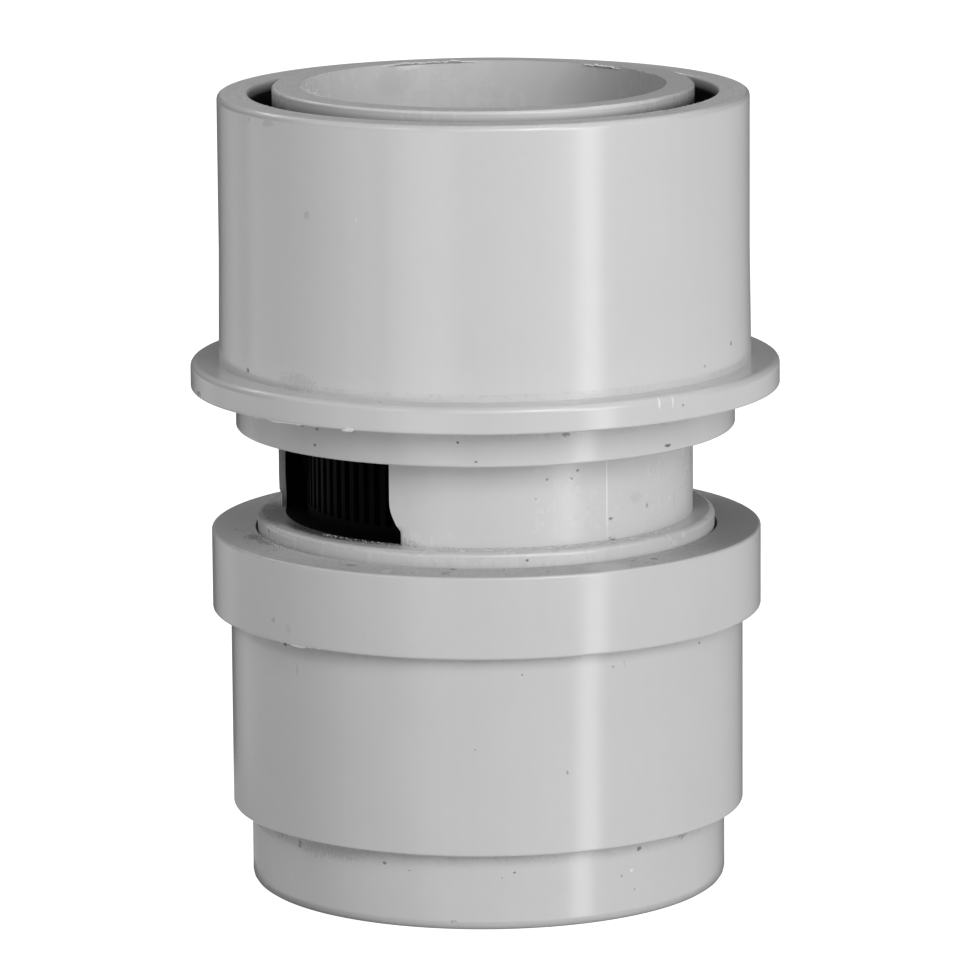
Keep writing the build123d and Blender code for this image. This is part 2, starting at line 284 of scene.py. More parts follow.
def makeCard(name, card):
    build = bmesh.new()
    first = build.verts.new(fromCamera(card["near"]) * cardDistance + upright * card["low"])
    sweep = math.radians(card["far"] - card["near"])
    steps = max(2, round(abs(card["far"] - card["near"]) / cardStep))
    bmesh.ops.spin(build, geom=[first], axis=upright, angle=sweep, steps=steps)
    made = bmesh.ops.extrude_edge_only(build, edges=build.edges[:])
    raised = [item for item in made["geom"] if isinstance(item, bmesh.types.BMVert)]
    bmesh.ops.translate(build, verts=raised, vec=upright * (card["high"] - card["low"]))
    glossOnly(stagePiece(name, build, cardMaterial(name, card)))


def cardMaterial(name, card):
    # the glow changes evenly from the near end to the far one
    material = plainMaterial(name, 0.0, 1.0)
    tree = material.node_tree
    shader = tree.nodes["Principled BSDF"]
    turned, _, _ = polar(tree, addNode(tree, "ShaderNodeTexCoord").outputs["Object"])
    turned = calc(tree, "SUBTRACT", turned, math.radians(frontTurn + card["near"]))
    turned = calc(tree, "WRAP", turned, math.pi, -math.pi)
    share = calc(tree, "DIVIDE", turned, math.radians(card["far"] - card["near"]), clamp=True)
    near, far = card["glow"]
    join(tree, calc(tree, "MULTIPLY_ADD", share, far - near, near), shader.inputs["Emission Strength"])
    shader.inputs["Emission Color"].default_value = (1, 1, 1, 1)
    shader.inputs["Specular IOR Level"].default_value = 0.0
    return material


def makeFootCard():
    build = bmesh.new()
    bmesh.ops.create_circle(build, segments=footCard["segments"], radius=footCard["radius"], cap_ends=True)
    bmesh.ops.translate(build, verts=build.verts[:], vec=upright * footCard["level"])
    glossOnly(stagePiece("footCard", build, plainMaterial("footCard", footCard["tone"], 1.0)))


def glossOnly(piece):
    piece.visible_camera = False
    piece.visible_diffuse = False
    piece.visible_shadow = False


makeFloor()
makeFootCard()
for name, card in cards.items():
    makeCard(name, card)
print("studio ready")


# node groups: newGroup makes one with its sockets, placeGroup sets one in a material

def newGroup(name, inputs, outputs):
    tree = bpy.data.node_groups.new(name, "ShaderNodeTree")
    for label, start in inputs.items():
        kind = "NodeSocketVector" if start is None else "NodeSocketFloat"
        socket = tree.interface.new_socket(label, in_out="INPUT", socket_type=kind)
        if start is not None:
            socket.default_value = start
    for label in outputs:
        tree.interface.new_socket(label, in_out="OUTPUT", socket_type="NodeSocketFloat")
    return tree, addNode(tree, "NodeGroupInput").outputs, addNode(tree, "NodeGroupOutput").inputs


def placeGroup(tree, group, vector, **values):
    node = addNode(tree, "ShaderNodeGroup", node_tree=group)
    join(tree, vector, node.inputs["Vector"])
    for label, value in values.items():
        node.inputs[label].default_value = value
    return node.outputs


# moulded skin: soft clouds, fine waves, and short upright drag marks from the mould

skinSettings = {
    "clouds": 110, "cloudShare": 0.7,
    "waves": 900, "waveShare": 0.3, "waveHeight": 0.6,
    "streaks": (900, 900, 25),      # dense round the axis, long along it
}


def makeMouldedSkin():
    box = skinSettings
    tree, given, made = newGroup("mouldedSkin", {"Vector": None, "Streaks": 1.0}, ["Shade", "Height"])
    clouds = noiseAt(tree, given["Vector"], box["clouds"], 3)
    fine = noiseAt(tree, given["Vector"], box["waves"], 2)
    streaks = noiseAt(tree, stretched(tree, given["Vector"], box["streaks"]), 1, 2)
    streaks = calc(tree, "MULTIPLY", calc(tree, "SUBTRACT", streaks, 0.5), given["Streaks"])
    waves = calc(tree, "MULTIPLY", fine, box["waveShare"])
    shade = calc(tree, "MULTIPLY_ADD", clouds, box["cloudShare"], waves)
    join(tree, calc(tree, "ADD", shade, streaks), made["Shade"])
    join(tree, calc(tree, "MULTIPLY_ADD", fine, box["waveHeight"], streaks), made["Height"])
    return tree


# specks: a share of the cells of a Voronoi pattern hold one small spot

speckSettings = {"smallest": 0.25, "edge": 2.5, "darkShare": 0.6}


def makeSpecks():
    box = speckSettings
    inputs = {"Vector": None, "Scale": 400.0, "Share": 0.1, "Size": 0.1}
    tree, given, made = newGroup("specks", inputs, ["Mask", "Pale"])
    cells = addNode(tree, "ShaderNodeTexVoronoi")
    join(tree, given["Vector"], cells.inputs["Vector"])
    join(tree, given["Scale"], cells.inputs["Scale"])
    draw = addNode(tree, "ShaderNodeSeparateColor")
    join(tree, cells.outputs["Color"], draw.inputs[0])
    chosen = calc(tree, "LESS_THAN", draw.outputs[0], given["Share"])
    spread = calc(tree, "MULTIPLY_ADD", draw.outputs[1], 1 - box["smallest"], box["smallest"])
    size = calc(tree, "MULTIPLY", given["Size"], spread)
    shape = calc(tree, "SUBTRACT", 1, calc(tree, "DIVIDE", cells.outputs["Distance"], size), clamp=True)
    shape = calc(tree, "MULTIPLY", shape, box["edge"], clamp=True)
    join(tree, calc(tree, "MULTIPLY", chosen, shape), made["Mask"])
    join(tree, calc(tree, "GREATER_THAN", draw.outputs[2], box["darkShare"]), made["Pale"])
    return tree


# turned face: rings that a cutting tool left, broken up, with a dull fine grain

turnedSettings = {"rings": 5200, "breaks": 5, "ringShare": 0.45, "grain": 2600, "grainShare": 0.55}


def makeTurnedFace():
    box = turnedSettings
    tree, given, made = newGroup("turnedFace", {"Vector": None}, ["Shade", "Height"])
    turned, away, _ = polar(tree, given["Vector"])
    spot = addNode(tree, "ShaderNodeCombineXYZ")
    join(tree, calc(tree, "MULTIPLY", away, box["rings"]), spot.inputs[0])
    join(tree, calc(tree, "MULTIPLY", turned, box["breaks"]), spot.inputs[1])
    rings = noiseAt(tree, spot.outputs[0], 1, 2)
    grain = calc(tree, "MULTIPLY", noiseAt(tree, given["Vector"], box["grain"], 3), box["grainShare"])
    mixed = calc(tree, "MULTIPLY_ADD", rings, box["ringShare"], grain)
    join(tree, mixed, made["Shade"])
    join(tree, mixed, made["Height"])
    return tree


# grime and painted shade just below an overhanging edge: full at the level, gone a reach further down
# patches and crumbs are (noise scale, contrast, start, share)

grimeAndPaintedShadeSettings = {"overlap": 0.00002, "patches": (260, 2.2, -0.7, 0.4), "crumbs": (1700, 5.0, -2.6, 0.6)}


def makeGrimeAndPaintedShade():
    box = grimeAndPaintedShadeSettings
    tree, given, made = newGroup("grimeAndPaintedShade", {"Vector": None, "Level": 0.0, "Reach": 0.001}, ["Mask"])
    _, _, level = splitVector(tree, given["Vector"])
    below = calc(tree, "SUBTRACT", given["Level"], level)
    depth = calc(tree, "DIVIDE", below, given["Reach"])
    fade = calc(tree, "SUBTRACT", 1, depth, clamp=True)
    under = calc(tree, "GREATER_THAN", below, -box["overlap"])
    scale, contrast, start, patchShare = box["patches"]
    patch = calc(tree, "MULTIPLY_ADD", noiseAt(tree, given["Vector"], scale, 3), contrast, start, clamp=True)
    scale, contrast, start, crumbShare = box["crumbs"]
    crumb = calc(tree, "MULTIPLY_ADD", noiseAt(tree, given["Vector"], scale, 2), contrast, start, clamp=True)
    worn = calc(tree, "MULTIPLY_ADD", crumb, crumbShare, calc(tree, "MULTIPLY", patch, patchShare))
    join(tree, calc(tree, "MULTIPLY", calc(tree, "MULTIPLY", fade, under), worn), made["Mask"])
    return tree


# one mark: an oval patch at an angle, a radius and a height, with a ragged or a soft rim

markSettings = {"tear": 5, "edge": 1.4}


def makeMark():
    box = markSettings
    inputs = {
        "Turned": 0.0, "Away": 0.0, "Level": 0.0, "Rough": 0.0,     # where the surface is, and how torn there
        "Angle": 0.0, "Radius": 0.02, "Height": 0.0, "Wide": 0.001, "Tall": 0.001, "Ragged": 0.5,
    }
    tree, given, made = newGroup("mark", inputs, ["Mask"])
    sideways = calc(tree, "WRAP", calc(tree, "SUBTRACT", given["Turned"], given["Angle"]), math.pi, -math.pi)
    sideways = calc(tree, "DIVIDE", calc(tree, "MULTIPLY", sideways, given["Away"]), given["Wide"])
    upwards = calc(tree, "DIVIDE", calc(tree, "SUBTRACT", given["Level"], given["Height"]), given["Tall"])
    outwards = calc(tree, "DIVIDE", calc(tree, "SUBTRACT", given["Away"], given["Radius"]), given["Tall"])
    squares = calc(tree, "MULTIPLY", upwards, upwards)
    squares = calc(tree, "MULTIPLY_ADD", outwards, outwards, squares)
    squares = calc(tree, "MULTIPLY_ADD", sideways, sideways, squares)
    tear = calc(tree, "MULTIPLY", given["Ragged"], box["tear"])
    squares = calc(tree, "MULTIPLY_ADD", given["Rough"], tear, squares)
    inside = calc(tree, "SUBTRACT", 1, squares)
    join(tree, calc(tree, "MULTIPLY", inside, box["edge"], clamp=True), made["Mask"])
    return tree


mouldedSkin = makeMouldedSkin()
specks = makeSpecks()
turnedFace = makeTurnedFace()
grimeAndPaintedShade = makeGrimeAndPaintedShade()
mark = makeMark()
print("node groups ready")


# grey plastic of the three mouldings; angles in degrees from the camera's side, lengths in mm
# cut: the tone of a turned face at a height; paintedSlotShade: radius range, top and reach of the painted
# shade in the narrow slot
# grimeAndPaintedShade, dirt with painted shade below an edge, is (height, reach, strength), specks are
# (lowest, highest, share of the cells, size)
# a stain, a patch of painted light or a mark is (angle, radius, height, half width, half height, tone,
# raggedness)

greySettings = {
    "cap": {
        "tone": 0.575,
        "cut": {34.35: 0.50},
        "stainsAndPaintedLight": [
            # painted shade: the first entry here and the last on the next line darken the left and the right
            # of the collar's top
            (-88, 24.5, 34.35, 14.0, 4.0, 0.38, 0.3), (-73.7, 22.8, 34.35, 1.6, 0.9, 0.16, 0.9),
            (-67, 22.7, 34.35, 2.4, 0.5, 0.2, 0.9), (88, 24.3, 34.35, 19.0, 4.6, 0.27, 0.2),
            (-32.3, 23.5, 34.35, 0.7, 0.5, 0.25, 0.9), (-22, 24.6, 34.35, 0.6, 1.1, 0.62, 0.3),
            (-8.0, 22.3, 34.35, 0.3, 0.5, 0.15, 0.4), (-9.0, 24.2, 34.35, 0.5, 0.9, 0.32, 0.9),
            (40.8, 23.8, 34.35, 0.35, 0.4, 0.15, 0.7), (35.7, 23.3, 34.35, 0.25, 0.3, 0.18, 0.6),
            # painted highlight on the front of the collar's top
            (27, 24.5, 34.35, 2.4, 2.2, 0.62, 0.2),
        ],
        # dirt with painted shade under the collar's edge and under the body's edge
        "grimeAndPaintedShade": [(26.6, 0.9, 0.55), (7.55, 1.5, 0.6)],
        "specks": [
            (0.0, 34.4, 0.03, 0.075), (5.2, 7.6, 0.2, 0.06),
            (25.0, 26.7, 0.12, 0.06), (34.3, 34.5, 0.3, 0.08),
        ],
        "marks": [
            (-49.5, 26.2, 28.6, 0.3, 0.3, 0.42, 1.0), (-44.9, 26.2, 28.1, 0.4, 0.5, 0.52, 0.8),
            (-50.5, 24.5, 26.0, 0.3, 0.25, 0.05, 0.3), (-46.5, 24.5, 23.8, 0.1, 0.7, 0.42, 0.3),
            (7.5, 24.5, 24.8, 0.13, 0.13, 0.25, 0.3), (28.4, 24.5, 24.9, 0.13, 0.13, 0.25, 0.3),
            (31.2, 24.5, 25.1, 0.06, 0.35, 0.4, 0.1), (54.2, 24.5, 25.5, 0.18, 0.18, 0.15, 0.3),
            (17.4, 24.5, 15.3, 0.14, 0.2, 0.3, 0.5), (-2.8, 24.5, 17.8, 0.13, 0.1, 0.3, 0.3),
            (-60.3, 22.7, 7.0, 1.6, 0.7, 0.38, 0.8), (-51.5, 22.7, 6.4, 0.35, 0.4, 0.1, 0.6),
            (-46, 22.7, 6.4, 2.2, 1.0, 0.47, 0.8), (-38, 22.7, 6.6, 3.0, 0.9, 0.46, 0.8),
            (-25.4, 22.7, 6.1, 0.2, 0.2, 0.2, 0.5), (-19.1, 22.7, 5.6, 0.12, 0.12, 0.3, 0.3),
            (6.0, 22.7, 5.6, 0.15, 0.13, 0.2, 0.3), (3.1, 22.7, 5.1, 0.12, 0.12, 0.35, 0.3),
            (38.4, 22.7, 6.6, 0.3, 0.25, 0.15, 0.6), (36.0, 22.7, 4.7, 0.2, 0.2, 0.8, 0.6),
            (33.1, 22.7, 4.3, 0.12, 0.12, 0.25, 0.3), (36.9, 22.7, 2.8, 0.14, 0.1, 0.3, 0.3),
            (53.6, 22.7, 6.8, 0.8, 0.35, 0.3, 1.0), (-8.5, 22.6, 0.9, 0.35, 0.2, 0.4, 0.8),
        ],
    },
    "valve_body": {
        "tone": 0.585,
        # painted light: the tube is painted lighter than the rest of the same moulding, its bore included
        "paintedLitTubeTone": 0.665,
        "cut": {76.55: 0.49},
        # painted shade in the slot round the tube
        "paintedSlotShade": {"inner": 19.8, "outer": 21.0, "top": 76.0, "reach": 1.3},
        # dirt with a painted shadow line under the step ring, at the top of the neck
        "grimeAndPaintedShade": [(44.2, 0.5, 0.4)],
        "specks": [(35.0, 44.2, 0.05, 0.08), (35.7, 36.0, 0.12, 0.06), (76.5, 76.6, 0.2, 0.07)],
        "roughness": 0.27,
        "marks": [
            (-91, 19.5, 40.0, 1.2, 6.0, 0.95, 0.0),     # painted light on the edge of the window's skin
            (-58, 19.2, 35.8, 15.0, 1.7, 0.03, 0.15),   # painted shade on the sill below the window; the next entry paints shade on the sill beside it
            (-84, 20.4, 35.8, 7.0, 2.2, 0.25, 0.1),
            (25.6, 19.75, 42.7, 0.2, 0.2, 0.15, 0.6), (23.5, 19.75, 42.0, 0.2, 0.16, 0.25, 0.6),
            (23.1, 19.75, 41.9, 0.12, 0.1, 0.9, 0.2), (16.6, 19.75, 42.1, 0.16, 0.13, 0.2, 0.5),
            (13.5, 19.75, 40.3, 0.12, 0.12, 0.3, 0.3), (36.0, 19.75, 37.8, 0.25, 0.2, 0.15, 0.8),
            (49.6, 19.75, 38.4, 0.2, 0.25, 0.3, 0.6), (34.6, 19.75, 40.0, 0.09, 5.0, 0.8, 0.0),
            (63.5, 19.75, 38.1, 0.1, 1.2, 0.45, 0.2), (45.0, 19.75, 39.4, 1.0, 0.6, 0.53, 0.2),
            (9.9, 21.8, 35.0, 0.2, 0.16, 0.12, 0.4), (-70.3, 21.8, 35.1, 0.3, 0.25, 0.25, 0.6),
            (63.2, 19.95, 76.2, 0.1, 0.4, 0.2, 0.1), (36, 19.9, 35.9, 0.7, 0.25, 0.2, 0.8),
            # painted shade: the second entry on the next line darkens the right inner wall of the bore
            (-150, 17.3, 74.8, 2.6, 1.5, 0.61, 0.1), (88, 17.3, 71, 22.0, 12.0, 0.40, 0.0),
            (-155.9, 17.3, 76.3, 1.8, 0.5, 0.8, 0.2),
        ],
    },
    "connector_sleeve": {
        "tone": 0.6,
        "cut": {75.9: 0.49},
        # painted shade in the slot round the tube
        "paintedSlotShade": {"inner": 21.0, "outer": 22.4, "top": 75.8, "reach": 1.0},
        # dirt with painted shade under the flange, and dirt at the flange's root
        "grimeAndPaintedShade": [(47.95, 1.5, 0.8), (51.2, 0.8, 0.35)],
        "specks": [
            (44.1, 76.0, 0.03, 0.07), (44.1, 48.0, 0.22, 0.065),
            (50.3, 52.0, 0.1, 0.06), (75.8, 76.0, 0.2, 0.07),
        ],
        "marks": [
            (-59.4, 25.2, 75.0, 0.1, 0.3, 0.3, 0.4), (-52.3, 25.2, 75.0, 1.0, 0.4, 0.48, 0.6),
            (-40.3, 25.2, 67.0, 0.5, 0.4, 0.48, 0.7), (-27.7, 25.2, 67.0, 0.1, 0.2, 0.75, 0.3),
            (-61.0, 25.3, 51.4, 0.28, 0.3, 0.06, 0.5), (-43.4, 25.3, 51.3, 2.4, 0.9, 0.5, 1.2),
            (-21.4, 26.5, 50.5, 0.2, 0.15, 0.12, 0.3), (-74.1, 28.0, 48.4, 0.9, 0.3, 0.2, 0.8),
            (-45.8, 23.75, 46.9, 0.2, 0.16, 0.1, 0.5), (-41.1, 23.75, 46.8, 0.22, 0.18, 0.1, 0.5),
            (-41.8, 23.75, 45.3, 0.2, 0.18, 0.08, 0.4), (-6.2, 23.75, 46.5, 0.16, 0.16, 0.1, 0.3),
            (-2.2, 23.75, 44.7, 0.16, 0.12, 0.15, 0.3),
            (34.7, 28.0, 49.9, 0.13, 0.7, 0.85, 0.2), (37.9, 28.0, 49.9, 0.1, 0.7, 0.8, 0.2),
            (40.4, 28.0, 49.4, 0.14, 0.14, 0.2, 0.3), (65.5, 25.2, 53.3, 0.25, 0.25, 0.2, 0.5),
            (53.7, 25.3, 51.9, 0.25, 0.2, 0.4, 0.5), (45.3, 23.75, 44.8, 0.5, 0.18, 0.08, 0.4),
            (18.1, 23.75, 47.0, 0.4, 0.25, 0.25, 1.0),
        ],
    },
    "roughness": 0.2, "roughSpread": 0.06, "cutRoughness": 0.5,
    "cloudiness": 0.05, "cutCloudiness": 0.5,
    "streaks": 0.3,
    "skinDepth": 0.003, "cutDepth": 0.05,
    "cutNear": 0.1,             # how far from its height a turned face is looked for
    "facing": (8, -7),          # turns the part of a normal that points up into a mask
    # the dark tone serves the specks, and the dirt and painted shade below edges
    "speckScale": 330, "speckAndPaintedShadeTone": 0.22, "lightSpeckTone": 0.8, "speckStrength": 0.7,
    "markTorn": 4200, "markStrength": 0.9,
    "pipeEnd": 51.0,            # above this height the valve body is the tube, and the slot goes round it
    # the tone of the painted shade deep in the slot
    "paintedSlotShadeTone": 0.015,
}


def addMark(tree, spots, tone, angle, radius, height, wide, tall, markTone, ragged):
    node = addNode(tree, "ShaderNodeGroup", node_tree=mark)
    for label, source in spots.items():
        join(tree, source, node.inputs[label])
    node.inputs["Angle"].default_value = math.radians(frontTurn + angle)
    node.inputs["Radius"].default_value = radius * mm
    node.inputs["Height"].default_value = height * mm
    node.inputs["Wide"].default_value = wide * mm
    node.inputs["Tall"].default_value = tall * mm
    node.inputs["Ragged"].default_value = ragged
    strength = calc(tree, "MULTIPLY", node.outputs["Mask"], greySettings["markStrength"])
    return blend(tree, strength, tone, markTone)


def finishMaterial(tree, shader, tone, rough, height):
    colour = addNode(tree, "ShaderNodeCombineColor")
    for slot in range(3):
        join(tree, tone, colour.inputs[slot])
    join(tree, colour.outputs[0], shader.inputs["Base Color"])
    join(tree, rough, shader.inputs["Roughness"])
    bump = addNode(tree, "ShaderNodeBump")
    bump.inputs["Distance"].default_value = mm
    join(tree, height, bump.inputs["Height"])
    join(tree, bump.outputs[0], shader.inputs["Normal"])


def greyPlastic(name, box):
    common = greySettings
    material = bpy.data.materials.new(name + "Grey")
    material.use_nodes = True
    tree = material.node_tree
    shader = tree.nodes["Principled BSDF"]
    coords = addNode(tree, "ShaderNodeTexCoord").outputs
    place = coords["Object"]
    turned, away, level = polar(tree, place)
    torn = calc(tree, "SUBTRACT", noiseAt(tree, place, common["markTorn"], 3), 0.5)
    spots = {"Turned": turned, "Away": away, "Level": level, "Rough": torn}
    skin = placeGroup(tree, mouldedSkin, place, Streaks=common["streaks"])
    tone = calc(tree, "SUBTRACT", skin["Shade"], 0.5)
    rough = calc(tree, "MULTIPLY_ADD", tone, common["roughSpread"], box.get("roughness", common["roughness"]))
    tone = calc(tree, "MULTIPLY_ADD", tone, common["cloudiness"], box["tone"])
    height = calc(tree, "MULTIPLY", skin["Height"], common["skinDepth"])
    # painted light: above the pipe end the valve body is painted lighter
    if "paintedLitTubeTone" in box:
        paintedLitTube = calc(tree, "GREATER_THAN", level, common["pipeEnd"] * mm)
        tone = calc(tree, "MULTIPLY_ADD", paintedLitTube, box["paintedLitTubeTone"] - box["tone"], tone)
    # dirt and painted shade just below the overhanging edges
    for top, reach, strength in box["grimeAndPaintedShade"]:
        dirt = placeGroup(tree, grimeAndPaintedShade, place, Level=top * mm, Reach=reach * mm)["Mask"]
        tone = blend(tree, calc(tree, "MULTIPLY", dirt, strength), tone, common["speckAndPaintedShadeTone"])
    _, _, facing = splitVector(tree, coords["Normal"])
    upwards = calc(tree, "MULTIPLY_ADD", facing, *common["facing"], clamp=True)
    face = placeGroup(tree, turnedFace, place)
    for cutLevel, cutTone in box["cut"].items():
        near = calc(tree, "COMPARE", level, cutLevel * mm, common["cutNear"] * mm)
        cut = calc(tree, "MULTIPLY", near, upwards)
        shade = calc(tree, "SUBTRACT", face["Shade"], 0.5)
        shade = calc(tree, "MULTIPLY_ADD", shade, common["cutCloudiness"], cutTone)
        # stains, with painted shade and a painted highlight on the collar's top
        for stainOrPaintedLight in box.get("stainsAndPaintedLight", []):
            shade = addMark(tree, spots, shade, *stainOrPaintedLight)
        tone = blend(tree, cut, tone, shade)
        rough = blend(tree, cut, rough, common["cutRoughness"])
        height = blend(tree, cut, height, calc(tree, "MULTIPLY", face["Height"], common["cutDepth"]))
    for low, high, share, size in box["specks"]:
        dots = placeGroup(tree, specks, place, Scale=common["speckScale"], Share=share, Size=size)
        within = calc(tree, "MULTIPLY", calc(tree, "GREATER_THAN", level, low * mm),
                      calc(tree, "LESS_THAN", level, high * mm))
        within = calc(tree, "MULTIPLY", dots["Mask"], within)
        pale = common["lightSpeckTone"] - common["speckAndPaintedShadeTone"]
        speck = calc(tree, "MULTIPLY_ADD", dots["Pale"], pale, common["speckAndPaintedShadeTone"])
        tone = blend(tree, calc(tree, "MULTIPLY", within, common["speckStrength"]), tone, speck)
    for spot in box["marks"]:
        tone = addMark(tree, spots, tone, *spot)
    # painted shade: the narrow slot darkens with depth
    if "paintedSlotShade" in box:
        paintedSlotShade = box["paintedSlotShade"]
        depth = calc(tree, "SUBTRACT", paintedSlotShade["top"] * mm, level)
        depth = calc(tree, "DIVIDE", depth, paintedSlotShade["reach"] * mm, clamp=True)
        inside = calc(tree, "MULTIPLY", calc(tree, "GREATER_THAN", away, paintedSlotShade["inner"] * mm),
                      calc(tree, "LESS_THAN", away, paintedSlotShade["outer"] * mm))
        inside = calc(tree, "MULTIPLY", inside, calc(tree, "GREATER_THAN", level, common["pipeEnd"] * mm))
        tone = blend(tree, calc(tree, "MULTIPLY", inside, depth), tone, common["paintedSlotShadeTone"])
    finishMaterial(tree, shader, tone, rough, height)
    return material


# the other materials: a tone, how cloudy it is, and a grain

softSettings = {
    # black plastic, with painted shade: far darker than black plastic is, for the shade in the window's recess
    "blackPlasticAndPaintedShade": {"tone": 0.002, "clouds": 0.002, "roughness": 0.5, "specular": 0.015, "grain": 700},
    "blackRubber": {"tone": 0.02, "clouds": 0.015, "roughness": 0.65, "specular": 0.3, "grain": 1500},
    "naturalPlastic": {"tone": 0.68, "clouds": 0.06, "roughness": 0.4, "specular": 0.5, "grain": 500},
    "paleDust": {"tone": 0.62, "clouds": 0.5, "roughness": 0.9, "specular": 0.2, "grain": 3000},
    "darkDirt": {"tone": 0.15, "clouds": 0.12, "roughness": 0.9, "specular": 0.2, "grain": 3000},
    "paleFlash": {"tone": 0.66, "clouds": 0.15, "roughness": 0.35, "specular": 0.5, "grain": 1800},
}
softRoughSpread = 0.2
softDepth = 0.02    # of the grain, in mm


def softMaterial(name):
    box = softSettings[name]
    material = bpy.data.materials.new(name)
    material.use_nodes = True
    tree = material.node_tree
    shader = tree.nodes["Principled BSDF"]
    place = addNode(tree, "ShaderNodeTexCoord").outputs["Object"]
    cloud = calc(tree, "SUBTRACT", noiseAt(tree, place, box["grain"], 3), 0.5)
    tone = calc(tree, "MULTIPLY_ADD", cloud, box["clouds"], box["tone"])
    rough = calc(tree, "MULTIPLY_ADD", cloud, softRoughSpread, box["roughness"])
    shader.inputs["Specular IOR Level"].default_value = box["specular"]
    finishMaterial(tree, shader, tone, rough, calc(tree, "MULTIPLY", cloud, softDepth))
    return material


def dress(name, material):
    mesh = nodes[name].data
    if mesh.materials:
        for index in range(len(mesh.materials)):
            mesh.materials[index] = material
    else:
        mesh.materials.append(material)


grey = {name: greyPlastic(name, greySettings[name]) for name in ("cap", "valve_body", "connector_sleeve")}
soft = {name: softMaterial(name) for name in softSettings}
dressing = {
    "valve_body": grey["valve_body"],
    "air_tube": soft["blackPlasticAndPaintedShade"],
    "left_insect_screen": soft["blackPlasticAndPaintedShade"],
    "right_insect_screen": soft["blackPlasticAndPaintedShade"],
    "cap_seal": soft["blackRubber"],
    "tube_seal": soft["blackRubber"],
    "diaphragm": soft["blackRubber"],
    "diaphragm_carrier": soft["naturalPlastic"],
    "clamp_ring": soft["naturalPlastic"],
}
for name, material in dressing.items():
    dress(name, material)
print("materials assigned")


# spun pieces: an outline of (radius, height) in millimetres goes round the axis

lathe = {"steps": 240, "arcSteps": 4, "support": 0.12, "shortest": 5, "merge": 0.001, "sharp": 35}


def around(angle, radius, height):
    turned = math.radians(frontTurn + angle)
    return Vector((radius * math.cos(turned), radius * math.sin(turned), height)) * mm


def supportEdge(build, edge):
    # a point close to each end keeps the shading of a rounding off the flat wall beside it
    support = lathe["support"] * mm
    if edge.calc_length() < lathe["shortest"] * support:
        return
    near, far = edge.verts
    _, middle = bmesh.utils.edge_split(edge, near, support / edge.calc_length())
    rest = next(item for item in middle.link_edges if far in item.verts)
    bmesh.utils.edge_split(rest, far, support / rest.calc_length())


def spinOutline(outline, rounded, closed):
    build = bmesh.new()
    corners = [build.verts.new((radius * mm, 0, height * mm)) for radius, height in outline]
    following = corners[1:] + corners[:1] if closed else corners[1:]
    for first, second in zip(corners, following):
        build.edges.new((first, second))
    for rounding in set(rounded.values()):
        chosen = [corners[index] for index in rounded if rounded[index] == rounding]
        bmesh.ops.bevel(build, geom=chosen, offset=rounding * mm, offset_type="OFFSET",
                        segments=lathe["arcSteps"], profile=0.5, affect="VERTICES", material=-1)
    for edge in build.edges[:]:
        supportEdge(build, edge)
    bmesh.ops.spin(build, geom=build.verts[:] + build.edges[:], axis=upright, cent=(0, 0, 0),
                   angle=2 * math.pi, steps=lathe["steps"], use_merge=True)
    bmesh.ops.remove_doubles(build, verts=build.verts[:], dist=lathe["merge"] * mm)
    bmesh.ops.recalc_face_normals(build, faces=build.faces[:])
    return build


def finishPiece(name, build, material, smooth=True):
    mesh = bpy.data.meshes.new(name)
    build.to_mesh(mesh)
    build.free()
    if smooth:
        mesh.shade_smooth()
        mesh.set_sharp_from_angle(angle=math.radians(lathe["sharp"]))
    mesh.materials.append(material)
    piece = bpy.data.objects.new(name, mesh)
    bpy.context.scene.collection.objects.link(piece)
    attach(piece, "housing")
    return piece


# cap, with its guide boss and the ribs that prop it

capSettings = {
    "footRadius": 22.7, "footTop": 7.55, "footRounding": 0.9,
    "bodyRadius": 24.475, "bodyTop": 26.6,
    "edge": 0.22,
    "boreRadius": 22.05, "grooveRadius": 22.55, "grooveTop": 24.57, "grooveBottom": 22.63, "grooveSlope": 0.55,
    "shoulderTop": 10.05, "footBoreRadius": 20.0, "floorTop": 2.6,
    "bossRadius": 4.5, "bossBore": 2.6, "bossTop": 21.55,
    "ribCount": 4, "ribTurn": 45, "ribReach": 10.5, "ribToe": 1.0, "ribDrop": 2.0, "ribThickness": 1.4,
}


def makeCap():
    box = capSettings
    _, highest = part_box("cap")
    collarRadius = highest[0] / mm
    collarTop = highest[2] / mm
    outline = [
        (0, 0),
        (box["footRadius"], 0),
        (box["footRadius"], box["footTop"]),
        (box["bodyRadius"], box["footTop"]),
        (box["bodyRadius"], box["bodyTop"]),
        (collarRadius, box["bodyTop"]),
        (collarRadius, collarTop),
        (box["boreRadius"], collarTop),
        (box["boreRadius"], box["grooveTop"]),
        (box["grooveRadius"], box["grooveTop"] - box["grooveSlope"]),
        (box["grooveRadius"], box["grooveBottom"] + box["grooveSlope"]),
        (box["boreRadius"], box["grooveBottom"]),
        (box["boreRadius"], box["shoulderTop"]),
        (box["footBoreRadius"], box["shoulderTop"]),
        (box["footBoreRadius"], box["floorTop"]),
        (box["bossRadius"], box["floorTop"]),
        (box["bossRadius"], box["bossTop"]),
        (box["bossBore"], box["bossTop"]),
        (box["bossBore"], box["floorTop"]),
        (0, box["floorTop"]),
    ]
    rounded = {1: box["footRounding"], 3: box["edge"], 5: box["edge"], 6: box["edge"]}    # corner: rounding
    build = spinOutline(outline, rounded, closed=False)
    for index in range(box["ribCount"]):
        addRib(build, box, box["ribTurn"] + 360 * index / box["ribCount"])
    piece = finishPiece("capShell", build, grey["cap"])
    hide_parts("cap")


